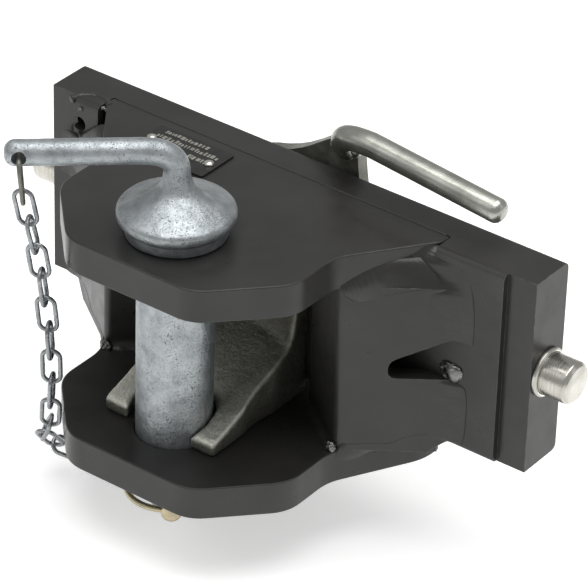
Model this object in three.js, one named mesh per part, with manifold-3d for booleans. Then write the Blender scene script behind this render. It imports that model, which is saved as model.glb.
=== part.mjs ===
// Clevis hitch for a ladder rail: a slide plate with two locking bolts, a welded two-plate jaw,
// a drop pin secured by a chained linch pin, and a rear lever that draws both bolts in.
// Millimetres. +X runs along the slide plate, +Y is towards the vehicle, +Z is up.
// The origin is the middle of the slide plate's lower rear edge.
import * as THREE from "three";
import { mergeVertices } from "three/addons/utils/BufferGeometryUtils.js";
import Module from "manifold-3d";

const wasm = await Module();
wasm.setup();

// ---- Driving dimensions ----
const GAP = 0.3; // clearance between pieces that touch
const PLATE = { halfWidth: 164, height: 120, thick: 34, railThick: 30, railStep: 146, edge: 4 };
const JAW = { centreX: -13.3, thick: 20, frontY: -150, sideY: -110, flareY: -75 };
const JAW_HALF = { front: 42, side: 80 }; // half widths of the jaw outline before it flares
const UPPER_REAR = { half: 115, cornerY: -26, rearY: -20, rounding: 3 }; // where the flare ends
const LOWER_REAR = { half: 108.5, cornerY: -23, rearY: -10, rounding: 9 };
const UPPER_Z = PLATE.height - JAW.thick; // underside of the upper jaw plate
const LOWER_TOP_Z = -6;
const LOWER_Z = LOWER_TOP_Z - JAW.thick;
const PIN = { x: -14, y: -108, radius: 21.3, hole: 21.9, domeRadius: 32.5, barRadius: 7.3 };
const HANDLE = { z: 170, heading: 221, reach: 92, bend: 19, rootZ: 148 };
const HANDLE_EYE = { reach: 83, radius: 4 };
const LINCH = { z: -44, heading: -54, radius: 4.75, holeRadius: 5.1, front: 29, back: 23 };
const LINCH_RING = { radius: 26, wire: 1.8, eye: 2.7 };
const BOLT = { y: -15, z: 58, radius: 12.2, bore: 12.6, tipX: 184, tailX: 50, pinX: 60 };
const BOLT_TRAVEL = 22;
const LEVER_TURN = THREE.MathUtils.degToRad(38);
const DRIVE_PIN = { radius: 4.5, slot: 4.8, frontY: -24, rearY: 14 };
const CAM = { frontY: 4, thick: 8, wall: 9, hubRadius: 26 };
const PIVOT = { radius: 8, depth: 16, headRadius: 13, headThick: 8, washer: 2.5 };
const COLLAR = { radius: 14.3, flange: 2.5, spigot: 13.5, spigotDepth: 9 };
const SPRING = { radius: 9.4, wire: 1.2, coils: 5, stopX: 14 };
const CHAIN = { pitch: 19, width: 12.6, wire: 1.35, slack: 1.5 };

// ---- Colours, roughness and metalness of each finish ----
const FINISH = {
  paint: { color: 0x3d3c3a, roughness: 0.42, metalness: 0.1 },
  zinc: { color: 0xaab4bc, roughness: 0.35, metalness: 0.9 },
  brightSteel: { color: 0xc4c2b8, roughness: 0.28, metalness: 0.95 },
  satinSteel: { color: 0x8f9088, roughness: 0.4, metalness: 0.9 },
  rawCasting: { color: 0x6d6c5c, roughness: 0.6, metalness: 0.7 },
  darkSteel: { color: 0x4b4a42, roughness: 0.5, metalness: 0.7 },
  yellowZinc: { color: 0xb3a67c, roughness: 0.35, metalness: 0.85 },
  plateBlack: { color: 0x1c1a19, roughness: 0.45, metalness: 0.2 },
};

// ---- Solids ----
function solid(geometry) {
  const bare = geometry.clone();
  for (const name of Object.keys(bare.attributes)) {
    if (name !== "position") bare.deleteAttribute(name);
  }
  const merged = mergeVertices(bare, 1e-4);
  const vertProperties = new Float32Array(merged.attributes.position.array);
  const triVerts = new Uint32Array(merged.index.array);
  return new wasm.Manifold(new wasm.Mesh({ numProp: 3, vertProperties, triVerts }));
}

function geometryOf(made) {
  const mesh = made.getMesh();
  const points = new Float32Array(mesh.numVert * 3);
  for (let i = 0; i < mesh.numVert; i++) {
    points.set(mesh.vertProperties.subarray(i * mesh.numProp, i * mesh.numProp + 3), i * 3);
  }
  const geometry = new THREE.BufferGeometry();
  geometry.setAttribute("position", new THREE.BufferAttribute(points, 3));
  geometry.setIndex(new THREE.BufferAttribute(new Uint32Array(mesh.triVerts), 1));
  return geometry;
}

const joined = (...parts) => geometryOf(parts.map(solid).reduce((a, b) => a.add(b)));
const cut = (body, ...tools) =>
  geometryOf(tools.map(solid).reduce((left, tool) => left.subtract(tool), solid(body)));

function box(x, y, z) {
  const made = new THREE.BoxGeometry(x[1] - x[0], y[1] - y[0], z[1] - z[0]);
  return made.translate((x[0] + x[1]) / 2, (y[0] + y[1]) / 2, (z[0] + z[1]) / 2);
}

// A solid of revolution about Z from [radius, z] points that start and end on the axis.
function turned(profile, sides = 48) {
  const points = profile.map(([radius, z]) => new THREE.Vector2(radius, z));
  return new THREE.LatheGeometry(points, sides).rotateX(Math.PI / 2);
}

const rod = (radius, from, to, sides = 32) =>
  turned([[0, from], [radius, from], [radius, to], [0, to]], sides);

// A rod with a small chamfer at both ends.
const chamfered = (radius, from, to, bevel, sides = 32) =>
  turned(
    [[0, from], [radius - bevel, from], [radius, from + bevel]].concat([
      [radius, to - bevel], [radius - bevel, to], [0, to],
    ]),
    sides,
  );

const alongX = (geometry) => geometry.rotateY(Math.PI / 2);
const alongY = (geometry) => geometry.rotateX(-Math.PI / 2);

// A closed outline through corner points [x, y, rounding radius].
function outline(corners) {
  const shape = new THREE.Shape();
  corners.forEach(([x, y, radius = 0], i) => {
    const [beforeX, beforeY] = corners.at(i - 1);
    const [afterX, afterY] = corners[(i + 1) % corners.length];
    const corner = new THREE.Vector2(x, y);
    const inwards = new THREE.Vector2(beforeX, beforeY).sub(corner).setLength(radius).add(corner);
    const outwards = new THREE.Vector2(afterX, afterY).sub(corner).setLength(radius).add(corner);
    if (i === 0) shape.moveTo(inwards.x, inwards.y);
    else shape.lineTo(inwards.x, inwards.y);
    if (radius > 0) shape.quadraticCurveTo(x, y, outwards.x, outwards.y);
  });
  return shape;
}

// An outline in the XY plane raised from z0 to z1.
const raised = (shape, z0, z1, curveSegments = 4) =>
  new THREE.ExtrudeGeometry(shape, { depth: z1 - z0, bevelEnabled: false, curveSegments })
    .translate(0, 0, z0);

// An outline drawn in X and Z, standing between y0 and y1.
const standing = (shape, y0, y1, curveSegments = 4) =>
  raised(shape, -y1, -y0, curveSegments).rotateX(Math.PI / 2);

// An outline drawn in Y and Z, running between x0 and x1.
const running = (shape, x0, x1, curveSegments = 4) =>
  raised(shape, x0, x1, curveSegments).rotateX(Math.PI / 2).rotateZ(Math.PI / 2);

const at = (points) => points.map(([x, y, z]) => new THREE.Vector3(x, y, z));

// A round bar along a smooth curve, closed at both ends.
function bar(curve, radius, steps, sides = 12) {
  const section = new THREE.Shape().absarc(0, 0, radius, 0, 2 * Math.PI);
  const options = { extrudePath: curve, steps, curveSegments: sides / 2, bevelEnabled: false };
  return new THREE.ExtrudeGeometry(section, options);
}

const ball = (radius, x, y, z, sides = 16) =>
  new THREE.SphereGeometry(radius, sides, sides / 2).translate(x, y, z);

// The outline of both jaw plates: square at the slide plate, flared, then narrowing to the mouth.
function jawOutline(rear) {
  const { centreX, frontY, sideY, flareY } = JAW;
  const right = [
    [JAW_HALF.front, frontY, 10],
    [JAW_HALF.side, sideY, 10],
    [JAW_HALF.side, flareY, 8],
    [rear.half, rear.cornerY, rear.rounding],
    [rear.half, rear.rearY, 1],
  ];
  const left = right.map(([x, y, radius]) => [-x, y, radius]).reverse();
  return outline([...left, ...right].map(([x, y, radius]) => [centreX + x, y, radius]));
}

// ---- Slide plate ----
const SMALL_HOLE = { x: -142, z: 104.5, radius: 4.5, depth: 12 };
const POCKET = { left: -132.5, right: -123, bottom: 58, depth: 7 };

function slidePlate() {
  const { halfWidth, height, thick, railThick, railStep, edge } = PLATE;
  const section = outline([
    [-thick, 0, edge], [0, 0, edge], [0, height, edge], [-thick, height, edge],
  ]);
  const body = running(section, -halfWidth, halfWidth, 3);
  const cuts = [];
  for (const side of [-1, 1]) {
    const between = (a, b) => (side > 0 ? [a, b] : [-b, -a]);
    cuts.push(
      box(between(railStep, halfWidth + 1), [-thick - 1, -railThick], [-1, height + 1]),
      alongX(rod(BOLT.bore, 0, halfWidth - SPRING.stopX + 1, 32))
        .rotateY(side > 0 ? 0 : Math.PI)
        .translate(side * SPRING.stopX, BOLT.y, BOLT.z),
      alongX(rod(COLLAR.spigot + GAP, halfWidth - COLLAR.spigotDepth, halfWidth + 1, 32))
        .rotateY(side > 0 ? 0 : Math.PI)
        .translate(0, BOLT.y, BOLT.z),
      driveSlot(side),
    );
  }
  const pivotHole = alongY(rod(PIVOT.radius + GAP, -PIVOT.depth, 1, 32)).translate(0, 0, BOLT.z);
  const seat = box(
    [JAW.centreX - UPPER_REAR.half - GAP, JAW.centreX + UPPER_REAR.half + GAP],
    [-thick - 1, UPPER_REAR.rearY + GAP],
    [UPPER_Z - GAP, height + 1],
  );
  const smallHole = alongY(rod(SMALL_HOLE.radius, -thick - 1, -thick + SMALL_HOLE.depth, 16))
    .translate(SMALL_HOLE.x, 0, SMALL_HOLE.z);
  const pocket = box(
    [POCKET.left, POCKET.right],
    [-thick - 1, -thick + POCKET.depth],
    [POCKET.bottom, UPPER_Z],
  );
  return cut(body, ...cuts, pivotHole, seat, smallHole, pocket);
}

// The slot in the plate's rear wall that a bolt's drive pin travels along.
function driveSlot(side) {
  const inner = side * (BOLT.pinX - BOLT_TRAVEL);
  const outer = side * BOLT.pinX;
  const half = DRIVE_PIN.slot + 1;
  const [low, high] = [Math.min(inner, outer) - half, Math.max(inner, outer) + half];
  const corner = [[low, -half], [high, -half], [high, half], [low, half]];
  const shape = outline(corner.map(([x, z]) => [x, BOLT.z + z, half - 0.5]));
  return standing(shape, BOLT.y, 1, 4);
}

// ---- Jaw ----
function jawPlate(rear, z0, z1) {
  const hole = rod(PIN.hole, z0 - 1, z1 + 1, 48).translate(PIN.x, PIN.y, 0);
  return cut(raised(jawOutline(rear), z0, z1, 4), hole);
}

function upperJawPlate() {
  return jawPlate(UPPER_REAR, UPPER_Z, PLATE.height);
}

function lowerJawPlate() {
  const screws = GUIDE_SCREWS.map(([x, y]) => guideScrewHole(x, y));
  return cut(jawPlate(LOWER_REAR, LOWER_Z, LOWER_TOP_Z), ...screws);
}

// A side wall is one plate bent round a nose: its outer leg, with a notch that opens towards the
// slide plate, runs out past the jaw plates' flared edges, and its inner leg runs in to the casting.
const WALL = {
  thick: 10, noseX: 79.9, noseY: -70.5, rearY: -PLATE.thick - GAP, innerEndX: 41.5,
  outerHeading: THREE.MathUtils.degToRad(36), innerHeading: THREE.MathUtils.degToRad(143),
};
// What is cut from the outer leg, drawn on its face: [distance from the nose, height, rounding].
const NOTCH = [[27.5, 41.8, 5], [75, 42.2, 0], [75, 67.4, 0], [60, 67.2, 2], [27.5, 52.2, 5]];
const UNDER_CUT = [[50, -12], [75, -12], [75, 2.5], [62, 2.5, 3], [50, -5.7]];

function sideWall(side) {
  const { thick, noseX, noseY, rearY, innerEndX, outerHeading, innerHeading } = WALL;
  const depth = rearY - noseY;
  const outerX = noseX + depth / Math.tan(outerHeading);
  const innerX = noseX + depth / Math.tan(innerHeading);
  const innerEndY = noseY + (innerEndX - noseX) * Math.tan(innerHeading);
  const [outerSkew, innerSkew] = [outerHeading, innerHeading].map((h) => thick / Math.sin(h));
  const cornerY = noseY + (outerSkew + innerSkew) /
    (1 / Math.tan(outerHeading) - 1 / Math.tan(innerHeading));
  const cornerX = noseX - outerSkew + (cornerY - noseY) / Math.tan(outerHeading);
  const plan = outline([
    [noseX, noseY, 4], [outerX, rearY], [outerX - outerSkew, rearY], [cornerX, cornerY, 2],
    [innerX + innerSkew, rearY], [innerEndX, rearY], [innerEndX, innerEndY],
  ]);
  const wall = raised(plan, LOWER_TOP_Z + GAP, UPPER_Z - GAP, 4);
  const openings = [NOTCH, UNDER_CUT].map((corners) =>
    standing(outline(corners), -2 * thick, 1.6 * thick, 3)
      .rotateZ(outerHeading)
      .translate(noseX, noseY, 0),
  );
  const made = cut(wall, ...openings);
  if (side < 0) made.scale(-1, 1, 1);
  if (side < 0) made.index.array.reverse();
  return made.translate(JAW.centreX, 0, 0);
}

// ---- Guide casting: a fork on the lower jaw plate that rises to the upper one ----
const GUIDE = { left: -54.2, right: 21.5, middleX: -16.2, backY: -PLATE.thick - GAP };
const GUIDE_WAIST = { radius: 60, offsetX: 96, y: -78, z: 60 }; // hollow in each flank
const GUIDE_SCREWS = [[-46, -60], [13.5, -60]];

function guideCasting() {
  const base = LOWER_TOP_Z + GAP;
  const side = outline([
    [GUIDE.backY, base], [GUIDE.backY, UPPER_Z - GAP, 2], [-46, UPPER_Z - GAP, 2],
    [-46.5, 44, 6], [-52, 31.5, 3], [-73, 20.5, 6], [-93, 11.5, 6], [-106, 6.5, 4],
    [-119, 2.4, 2], [-119, base, 1],
  ]);
  const body = running(side, GUIDE.left, GUIDE.right, 3);
  const throat = turned(
    [
      [0, base - 1], [24, base - 1], [24, 6.5], [28, 11.5], [36, 16], [46, 20.5], [55, 25],
      [66, 31], [69.5, 38], [70.5, 50], [70.5, UPPER_Z + 1], [0, UPPER_Z + 1],
    ],
    64,
  ).translate(GUIDE.middleX, PIN.y, 0);
  const waist = [-1, 1].map((side) =>
    new THREE.CylinderGeometry(GUIDE_WAIST.radius, GUIDE_WAIST.radius, 140, 48)
      .rotateX(Math.PI / 2)
      .translate(GUIDE.middleX + side * GUIDE_WAIST.offsetX, GUIDE_WAIST.y, GUIDE_WAIST.z),
  );
  const bores = GUIDE_SCREWS.map(([x, y]) =>
    rod(SCREW.radius + GAP, base - 1, base + SCREW.bore, 12).translate(x, y, 0),
  );
  return cut(body, throat, ...waist, ...bores);
}

function guideScrewHole(x, y) {
  const head = SCREW.headRadius + GAP;
  const profile = [
    [0, LOWER_Z - 1], [head, LOWER_Z - 1], [head, LOWER_Z + SCREW.recess],
    [SCREW.radius + GAP, LOWER_Z + SCREW.recess], [SCREW.radius + GAP, LOWER_TOP_Z + 1],
    [0, LOWER_TOP_Z + 1],
  ];
  return turned(profile, 24).translate(x, y, 0);
}

// ---- Screws that hold the casting, from below ----
const SCREW = { radius: 2.9, headRadius: 6.5, head: 6, recess: 7.5, grip: 8, bore: 12, hex: 3.4 };

function guideScrew([x, y]) {
  const top = LOWER_Z + SCREW.recess - GAP;
  const profile = [
    [0, top - SCREW.head], [SCREW.headRadius, top - SCREW.head], [SCREW.headRadius, top],
    [SCREW.radius, top], [SCREW.radius, LOWER_TOP_Z + SCREW.grip], [0, LOWER_TOP_Z + SCREW.grip],
  ];
  const socket = new THREE.CylinderGeometry(SCREW.hex, SCREW.hex, SCREW.head, 6)
    .rotateX(Math.PI / 2)
    .translate(0, 0, top - SCREW.head);
  return cut(turned(profile, 24), socket).translate(x, y, 0);
}

// ---- Coupling pin: shank, domed flange and bent handle in one forging ----
function couplingPin() {
  const heading = THREE.MathUtils.degToRad(HANDLE.heading);
  const [outX, outY] = [Math.cos(heading), Math.sin(heading)];
  const profile = [
    [0, -56], [11.5, -56], [13.5, -54], [21.3, -33], [PIN.radius, PLATE.height + GAP],
    [28, PLATE.height + GAP], [28.5, 127.5], [30.5, 128.5], [PIN.domeRadius, 131],
    [PIN.domeRadius, 134], [30.5, 136.6], [22, 140.5], [14, 144.6], [9.5, 148.5],
    [7.6, 153.5], [PIN.barRadius, 156], [0, 156],
  ];
  const forging = turned(profile, 40).translate(PIN.x, PIN.y, 0);
  const end = HANDLE.reach - PIN.barRadius;
  const path = new THREE.CurvePath();
  const knee = new THREE.Vector3(PIN.x, PIN.y, HANDLE.z);
  const below = knee.clone().setZ(HANDLE.z - HANDLE.bend);
  const along = (reach) => new THREE.Vector3(PIN.x + outX * reach, PIN.y + outY * reach, HANDLE.z);
  path.add(new THREE.LineCurve3(knee.clone().setZ(HANDLE.rootZ), below));
  path.add(new THREE.QuadraticBezierCurve3(below, knee, along(HANDLE.bend)));
  path.add(new THREE.LineCurve3(along(HANDLE.bend), along(end)));
  const handle = bar(path, PIN.barRadius, 15, 14);
  const tip = ball(PIN.barRadius + 0.02, along(end).x, along(end).y, HANDLE.z, 14);
  const eye = alongY(rod(HANDLE_EYE.radius, -12, 12, 16))
    .rotateZ(heading)
    .translate(along(HANDLE_EYE.reach).x, along(HANDLE_EYE.reach).y, HANDLE.z);
  const linchHole = alongX(rod(LINCH.holeRadius, -30, 30, 24))
    .rotateZ(THREE.MathUtils.degToRad(LINCH.heading))
    .translate(PIN.x, PIN.y, LINCH.z);
  return cut(joined(forging, handle, tip), eye, linchHole);
}

// ---- Linch pin and its ring, drawn along +X from the coupling pin's axis, then turned ----
function linchFrame() {
  const group = new THREE.Group();
  group.position.set(PIN.x, PIN.y, LINCH.z);
  group.rotation.z = THREE.MathUtils.degToRad(LINCH.heading);
  return group;
}

const RING_HINGE_X = LINCH.front - 3.6;
const RING_DROOP = THREE.MathUtils.degToRad(3);

function linchPin() {
  const { radius, front, back } = LINCH;
  const profile = [
    [0, -back], [radius - 2, -back], [radius, -back + 3], [radius, front - 9],
    [radius + 0.9, front - 8.4], [radius + 0.9, front - 0.6], [radius - 0.4, front], [0, front],
  ];
  const eye = alongY(rod(LINCH_RING.eye, -10, 10, 16)).translate(RING_HINGE_X, 0, 0);
  return cut(alongX(turned(profile, 20)), eye);
}

// The ring passes through the linch pin's head and round the end of the coupling pin; its wire
// is nearly straight inside the head.
class RingCurve extends THREE.Curve {
  getPoint(t, target = new THREE.Vector3()) {
    const angle = 2 * Math.PI * t;
    const flat = 1.2 * Math.max(0, Math.cos(angle)) ** 6;
    const x = LINCH_RING.radius * (Math.cos(angle) - 1) - flat + 1.2;
    return target.set(x, LINCH_RING.radius * Math.sin(angle), 0);
  }
}

function linchRing() {
  const wire = new THREE.TubeGeometry(new RingCurve(), 36, LINCH_RING.wire, 6, true);
  return geometryOf(solid(wire));
}

// ---- Chain ----
// Where each link meets the next, from the handle's loop down past the lower jaw plate's corner
// and under it, to beside the linch pin's ring.
const LINK_ENDS = at([
  [-75.4, -161.3, 144.9], [-74.2, -157.6, 126.3], [-73.5, -152.9, 108.0], [-73.6, -148.9, 89.5],
  [-73.6, -145.6, 70.8], [-73.7, -142.8, 52.0], [-74.4, -140.1, 33.3], [-76.2, -137.5, 14.6],
  [-79.4, -134.4, -3.8], [-83.9, -129.9, -21.7], [-94.0, -123.6, -36.5], [-95.0, -111.5, -51.2],
  [-83.4, -99.6, -60.1], [-65.2, -95.6, -63.4], [-48.2, -98.6, -55.9],
]);

// The direction of each link's width: square to its own length and to the width of the link before.
const LINK_WIDTHS = [];
for (let i = 0; i + 1 < LINK_ENDS.length; i++) {
  const along = LINK_ENDS[i + 1].clone().sub(LINK_ENDS[i]);
  const before = LINK_WIDTHS.at(-1) ?? new THREE.Vector3(0.45, -0.9, 0);
  LINK_WIDTHS.push(before.clone().cross(along).normalize());
}

// A link's centre line: two straight sides and two half-round ends, lying along X.
class LinkCurve extends THREE.Curve {
  constructor(length, width) {
    super();
    this.straight = (length - width) / 2;
    this.radius = width / 2;
  }

  getPoint(t, target = new THREE.Vector3()) {
    const angle = 2 * Math.PI * t;
    const x = this.radius * Math.cos(angle) + Math.sign(Math.cos(angle)) * this.straight;
    return target.set(x, this.radius * Math.sin(angle), 0);
  }
}

function chainLink(index) {
  const length = CHAIN.pitch + 2 * CHAIN.wire + CHAIN.slack;
  const curve = new LinkCurve(length, CHAIN.width - 2 * CHAIN.wire);
  const wire = geometryOf(solid(new THREE.TubeGeometry(curve, 14, CHAIN.wire, 6, true)));
  const link = mesh("chain_link_" + String(index + 1).padStart(2, "0"), wire, FINISH.zinc);
  const [from, to] = [LINK_ENDS[index], LINK_ENDS[index + 1]];
  const along = to.clone().sub(from).normalize();
  const across = LINK_WIDTHS[index];
  link.quaternion.setFromRotationMatrix(
    new THREE.Matrix4().makeBasis(along, across, along.clone().cross(across)),
  );
  link.position.lerpVectors(from, to, 0.5);
  return link;
}

// ---- Wire loop between the handle and the chain, pinched narrow where the first link sits ----
const LOOP_LEAN = THREE.MathUtils.degToRad(4);
const LOOP_DROP = 1.5; // the loop's wire hangs this far below the middle of the handle's eye

function handleLoop() {
  const points = at([
    [0, 0, 0], [7.2, 0, -0.6], [9.2, 0, -6], [6.6, 0, -14], [4.4, 0, -22], [2.6, 0, -27],
    [0, 0, -29.6], [-2.6, 0, -27], [-4.4, 0, -22], [-6.6, 0, -14], [-9.2, 0, -6],
    [-7.2, 0, -0.6],
  ]);
  const curve = new THREE.CatmullRomCurve3(points, true, "centripetal");
  return geometryOf(solid(new THREE.TubeGeometry(curve, 24, CHAIN.wire, 6, true)));
}

// ---- Locking bolts, collars and springs, drawn for the right side ----
function lockingBolt() {
  const body = alongX(chamfered(BOLT.radius, BOLT.tailX, BOLT.tipX, 2, 32));
  const pinHole = alongY(rod(DRIVE_PIN.radius + GAP, -20, 20, 16)).translate(BOLT.pinX, 0, 0);
  return cut(body, pinHole);
}

function drivePin() {
  return alongY(
    chamfered(DRIVE_PIN.radius, DRIVE_PIN.frontY - BOLT.y, DRIVE_PIN.rearY - BOLT.y, 1, 16),
  ).translate(BOLT.pinX, 0, 0);
}

function boltCollar() {
  const inner = BOLT.radius + GAP;
  const face = PLATE.halfWidth + GAP;
  const back = PLATE.halfWidth - COLLAR.spigotDepth + GAP;
  const profile = [
    [inner, back], [COLLAR.spigot, back], [COLLAR.spigot, face], [COLLAR.radius, face],
    [COLLAR.radius, face + COLLAR.flange - 0.5], [COLLAR.radius - 0.5, face + COLLAR.flange],
    [inner, face + COLLAR.flange], [inner, back],
  ];
  return alongX(turned(profile, 32));
}

class SpringCurve extends THREE.Curve {
  getPoint(t, target = new THREE.Vector3()) {
    const from = SPRING.stopX + SPRING.wire + GAP;
    const to = BOLT.tailX - SPRING.wire - GAP;
    const angle = 2 * Math.PI * SPRING.coils * t;
    const x = from + (to - from) * t;
    return target.set(x, SPRING.radius * Math.cos(angle), SPRING.radius * Math.sin(angle));
  }
}

const boltSpring = () => geometryOf(solid(bar(new SpringCurve(), SPRING.wire, 50, 4)));

// ---- Lever: a cam plate with two spiral slots, its pivot and its hand bar ----
// Radius of the slot's centre line when the plate has turned by `turn`.
const slotRadius = (turn) => BOLT.pinX - (BOLT_TRAVEL * turn) / LEVER_TURN;

// A band of the given half width along the slot's centre line, in X and Z about the pivot.
function slotBand(side, half) {
  const steps = 7;
  const centre = [];
  for (let i = 0; i <= steps; i++) {
    const turn = (LEVER_TURN * i) / steps;
    const reach = side * slotRadius(turn);
    centre.push([reach * Math.cos(turn), -reach * Math.sin(turn)]);
  }
  const direction = (i) => {
    const [a, b] = [centre[Math.max(0, i - 1)], centre[Math.min(steps, i + 1)]];
    return Math.atan2(b[1] - a[1], b[0] - a[0]);
  };
  const offset = ([x, z], angle) => [x + half * Math.cos(angle), z + half * Math.sin(angle)];
  const points = centre.map((p, i) => offset(p, direction(i) - Math.PI / 2));
  for (let k = 1; k < 6; k++) {
    points.push(offset(centre[steps], direction(steps) - Math.PI / 2 + (Math.PI * k) / 6));
  }
  for (let i = steps; i >= 0; i--) points.push(offset(centre[i], direction(i) + Math.PI / 2));
  for (let k = 1; k < 6; k++) {
    points.push(offset(centre[0], direction(0) + Math.PI / 2 + (Math.PI * k) / 6));
  }
  return outline(points);
}

function camPlate() {
  const { frontY, thick } = CAM;
  const rearY = frontY + thick;
  const upright = outline([
    [-64, 8, 10], [-46, 51, 10], [-21, 57, 16], [7, 77, 6], [22, 80, 5], [23.5, 62, 10],
    [27, 40, 10], [50, 10, 10], [20, -16, 12], [-30, -20, 14],
  ]);
  const bands = [-1, 1].map((side) =>
    standing(slotBand(side, DRIVE_PIN.slot + CAM.wall), frontY, rearY, 2),
  );
  const hub = alongY(rod(CAM.hubRadius, frontY, rearY, 32));
  const body = joined(standing(upright, frontY, rearY, 4), hub, ...bands);
  const slots = [-1, 1].map((side) =>
    standing(slotBand(side, DRIVE_PIN.slot), frontY - 1, rearY + 1, 2),
  );
  const pivotHole = alongY(rod(PIVOT.radius + GAP, frontY - 1, rearY + 1, 32));
  return cut(body, ...slots, pivotHole);
}

// The hand bar leaves the plate upwards and forwards, then bends to run along the slide plate.
const LEVER_BAR = { radius: 7, root: [17, CAM.frontY - GAP, 73.5], end: [124.4, -12, 83.7] };

function leverBar() {
  const [root, rise, knee, level, end] = at([
    LEVER_BAR.root, [17, -1.2, 79.5], [18.5, -7.5, 89.5], [40, -8, 89.8], LEVER_BAR.end,
  ]);
  const path = new THREE.CurvePath();
  path.add(new THREE.LineCurve3(root, rise));
  path.add(new THREE.QuadraticBezierCurve3(rise, knee, level));
  path.add(new THREE.LineCurve3(level, end));
  const stem = bar(path, LEVER_BAR.radius, 15, 14);
  const tip = ball(LEVER_BAR.radius + 0.02, end.x, end.y, end.z, 14);
  const foot = ball(LEVER_BAR.radius, root.x, root.y, root.z, 14);
  const behind = box([-40, 80], [CAM.frontY - GAP, 40], [20, 120]);
  return cut(joined(stem, tip, foot), behind);
}

function pivotBolt() {
  const from = -PIVOT.depth + GAP;
  const headY = CAM.frontY + CAM.thick + 2 * GAP + PIVOT.washer;
  const shank = alongY(rod(PIVOT.radius, from, headY + 1, 32));
  const head = new THREE.CylinderGeometry(PIVOT.headRadius, PIVOT.headRadius, PIVOT.headThick, 6)
    .translate(0, headY + PIVOT.headThick / 2, 0);
  return joined(shank, head);
}

function ringWasher(inner, outer, y0, y1) {
  const profile = [[inner, y0], [outer, y0], [outer, y1], [inner, y1], [inner, y0]];
  return alongY(turned(profile, 32));
}

const pivotSpacer = () => ringWasher(PIVOT.radius + GAP, 17, GAP, CAM.frontY - GAP);

function pivotWasher() {
  const rear = CAM.frontY + CAM.thick + GAP;
  return ringWasher(PIVOT.radius + GAP, 16, rear, rear + PIVOT.washer);
}

// ---- Data plate and its rivets, on the upper jaw plate ----
const LABEL = { left: -88.5, right: -37, front: -57, rear: -27.5, thick: 1 };
const LABEL_RIVETS = [[-83.5, -42.2], [-42, -44.3]];

function dataPlate() {
  const { left, right, front, rear, thick } = LABEL;
  const base = PLATE.height + GAP;
  const corners = [[left, front], [right, front], [right, rear], [left, rear]];
  const shape = outline(corners.map(([x, y]) => [x, y, 1.5]));
  const hole = rod(1.7, base - 1, base + thick + 1, 12);
  const holes = LABEL_RIVETS.map(([x, y]) => hole.clone().translate(x, y, 0));
  return cut(raised(shape, base, base + thick, 2), ...holes);
}

function labelRivet([x, y]) {
  const base = PLATE.height + GAP;
  const top = base + LABEL.thick + GAP;
  const profile = [
    [0, base], [1.4, base], [1.4, top], [3, top], [2.6, top + 0.9], [1.4, top + 1.5],
    [0, top + 1.7],
  ];
  return turned(profile, 16).translate(x, y, 0);
}

// ---- Assembly ----
function mesh(name, geometry, finish) {
  const made = new THREE.Mesh(geometry, new THREE.MeshStandardMaterial(finish));
  made.geometry.computeVertexNormals();
  made.name = name;
  return made;
}

const hitch = new THREE.Group();

function frameGroup() {
  const group = new THREE.Group();
  group.add(
    mesh("slide_plate", slidePlate(), FINISH.paint),
    mesh("upper_jaw_plate", upperJawPlate(), FINISH.paint),
    mesh("lower_jaw_plate", lowerJawPlate(), FINISH.paint),
    mesh("left_side_wall", sideWall(-1), FINISH.paint),
    mesh("right_side_wall", sideWall(1), FINISH.paint),
    mesh("guide_casting", guideCasting(), FINISH.rawCasting),
    mesh("data_plate", dataPlate(), FINISH.plateBlack),
  );
  ["left", "right"].forEach((side, i) => {
    group.add(
      mesh(side + "_guide_screw", guideScrew(GUIDE_SCREWS[i]), FINISH.darkSteel),
      mesh(side + "_label_rivet", labelRivet(LABEL_RIVETS[i]), FINISH.brightSteel),
    );
  });
  return group;
}

// Pieces of one bolt, turned about the vertical through the slide plate's middle for the left.
function boltGroup(side) {
  const group = new THREE.Group();
  const name = side > 0 ? "right_" : "left_";
  group.position.set(0, BOLT.y, BOLT.z);
  const flip = (geometry) => (side > 0 ? geometry : geometry.rotateZ(Math.PI));
  const mirror = (geometry) => geometry.translate(side > 0 ? 0 : -2 * BOLT.pinX, 0, 0);
  group.add(
    mesh(name + "locking_bolt", flip(lockingBolt()), FINISH.brightSteel),
    mesh(name + "drive_pin", mirror(drivePin()), FINISH.darkSteel),
    mesh(name + "bolt_collar", flip(boltCollar()), FINISH.brightSteel),
    mesh(name + "bolt_spring", flip(boltSpring()), FINISH.darkSteel),
  );
  return group;
}

function leverGroup() {
  const group = new THREE.Group();
  group.position.set(0, 0, BOLT.z);
  group.add(
    mesh("lever_cam_plate", camPlate(), FINISH.darkSteel),
    mesh("lever_bar", leverBar(), FINISH.satinSteel),
    mesh("lever_pivot_bolt", pivotBolt(), FINISH.satinSteel),
    mesh("lever_pivot_spacer", pivotSpacer(), FINISH.satinSteel),
    mesh("lever_pivot_washer", pivotWasher(), FINISH.satinSteel),
  );
  return group;
}

function pinGroup() {
  const group = new THREE.Group();
  group.add(mesh("coupling_pin", couplingPin(), FINISH.zinc));
  const linch = linchFrame();
  const ring = mesh("linch_ring", linchRing(), FINISH.yellowZinc);
  ring.position.x = RING_HINGE_X;
  ring.rotation.y = -RING_DROOP;
  linch.add(mesh("linch_pin", linchPin(), FINISH.yellowZinc), ring);
  group.add(linch);
  const heading = THREE.MathUtils.degToRad(HANDLE.heading);
  const loop = mesh("handle_loop", handleLoop(), FINISH.darkSteel);
  loop.position.set(
    PIN.x + Math.cos(heading) * HANDLE_EYE.reach,
    PIN.y + Math.sin(heading) * HANDLE_EYE.reach,
    HANDLE.z - LOOP_DROP,
  );
  loop.rotation.set(-LOOP_LEAN, 0, heading - Math.PI / 2, "ZYX");
  group.add(loop);
  for (let index = 0; index < LINK_ENDS.length - 1; index++) group.add(chainLink(index));
  return group;
}

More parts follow.
